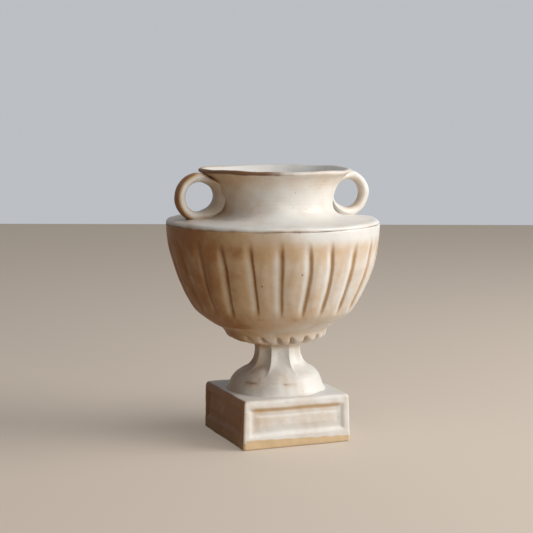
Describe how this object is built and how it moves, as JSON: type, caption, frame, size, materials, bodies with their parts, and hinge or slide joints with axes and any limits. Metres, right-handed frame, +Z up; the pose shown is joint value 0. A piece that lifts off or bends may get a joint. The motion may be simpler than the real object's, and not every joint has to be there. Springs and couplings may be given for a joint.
{
  "type": "footed urn",
  "caption": "Footed urn in glazed stoneware: fluted bowl, flared neck and loop handles above a notched collar, a fluted stem and a panelled square plinth.",
  "frame": {"origin": "centre of the plinth's underside, on the surface that the urn stands on", "axes": "+Z up the urn's axis, +X towards the right-hand handle, -Y towards the front"},
  "size_m": [0.158, 0.158, 0.2],
  "materials": {
    "white_glaze": "semi-matte",
    "tan_glaze": "semi-matte"
  },
  "bodies": {
    "root": {"plinth": "white_glaze", "stem": "white_glaze", "collar": "tan_glaze", "bowl": "tan_glaze", "neck": "white_glaze", "handle_left": "white_glaze", "handle_right": "white_glaze"}
  },
  "joints": []
}
